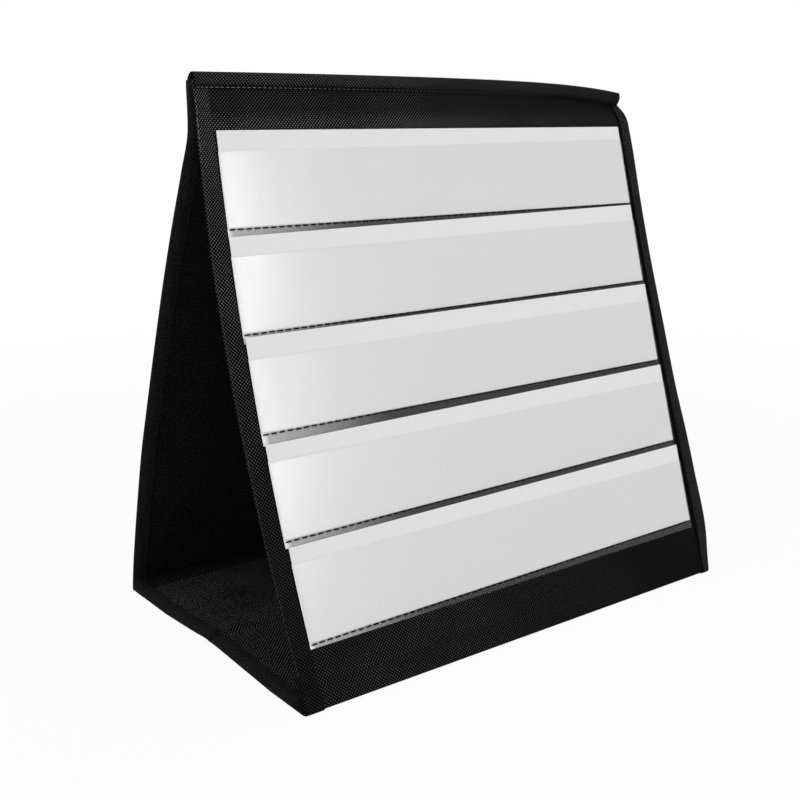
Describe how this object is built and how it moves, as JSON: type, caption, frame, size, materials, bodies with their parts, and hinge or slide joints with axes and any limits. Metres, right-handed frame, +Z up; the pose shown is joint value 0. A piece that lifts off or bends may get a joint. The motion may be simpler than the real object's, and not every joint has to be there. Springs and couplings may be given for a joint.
{
  "type": "tabletop pocket chart",
  "caption": "Folding A-frame tabletop chart of black fabric-covered boards, with clear pockets across its front that hold loose white cards.",
  "frame": {"origin": "on the table, midway between the two feet and midway along the ridge", "axes": "+X along the ridge to the right as the pockets are read, +Y from the front foot to the rear foot, +Z up"},
  "size_m": [0.31, 0.2, 0.314],
  "materials": {
    "fabric": "matte non-woven with embossed dots",
    "tape": "matte folded binding tape",
    "board": "plain grey board",
    "pocket_film": "clear glossy film",
    "card": "smooth white card",
    "thread": "black sewing thread"
  },
  "bodies": {
    "front_panel": {"front_cover": "fabric", "front_board": "board", "front_lining": "fabric", "front_tape_left": "tape", "front_tape_right": "tape", "ridge_tape_front": "tape", "pocket_film_1": "pocket_film", "pocket_film_2": "pocket_film", "pocket_film_3": "pocket_film", "pocket_film_4": "pocket_film", "pocket_film_5": "pocket_film", "pocket_thread_1": "thread", "pocket_thread_2": "thread", "pocket_thread_3": "thread", "pocket_thread_4": "thread", "pocket_thread_5": "thread"},
    "base_front": {"base_front_cover": "fabric", "base_front_board": "board", "base_front_lining": "fabric", "base_front_tape_left": "tape", "base_front_tape_right": "tape"},
    "base_rear": {"base_rear_cover": "fabric", "base_rear_board": "board", "base_rear_lining": "fabric", "base_rear_tape_left": "tape", "base_rear_tape_right": "tape"},
    "rear_panel": {"rear_cover": "fabric", "rear_board": "board", "rear_lining": "fabric", "rear_tape_left": "tape", "rear_tape_right": "tape", "ridge_tape_rear": "tape"},
    "card_1": {"card_1": "card"},
    "card_2": {"card_2": "card"},
    "card_3": {"card_3": "card"},
    "card_4": {"card_4": "card"},
    "card_5": {"card_5": "card"}
  },
  "joints": [
    {"name": "base_fold", "type": "hinge", "parent": "front_panel", "child": "base_front", "pos_m": [0, -0.0927, 0.00465], "axis": [1, 0, 0], "range_deg": [0, 72.3]},
    {"name": "crease_fold", "type": "hinge", "parent": "base_front", "child": "base_rear", "pos_m": [0, 0, -0.00015], "axis": [-1, 0, 0], "range_deg": [0, 180]},
    {"name": "rear_fold", "type": "hinge", "parent": "base_rear", "child": "rear_panel", "pos_m": [0, 0.0927, 0.00465], "axis": [1, 0, 0], "range_deg": [0, 72.4]},
    {"name": "card_1_slide", "type": "slide", "parent": "front_panel", "child": "card_1", "axis": [0, 0.2778, 0.9607], "range_m": [0, 0.042]},
    {"name": "card_2_slide", "type": "slide", "parent": "front_panel", "child": "card_2", "axis": [0, 0.2778, 0.9607], "range_m": [0, 0.042]},
    {"name": "card_3_slide", "type": "slide", "parent": "front_panel", "child": "card_3", "axis": [0, 0.2778, 0.9607], "range_m": [0, 0.042]},
    {"name": "card_4_slide", "type": "slide", "parent": "front_panel", "child": "card_4", "axis": [0, 0.2778, 0.9607], "range_m": [0, 0.042]},
    {"name": "card_5_slide", "type": "slide", "parent": "front_panel", "child": "card_5", "axis": [0, 0.2778, 0.9607], "range_m": [0, 0.042]}
  ],
  "couplings": [
    {"joint": "crease_fold", "follows": "base_fold", "ratio": 2.4876},
    {"joint": "rear_fold", "follows": "base_fold", "ratio": 1}
  ]
}
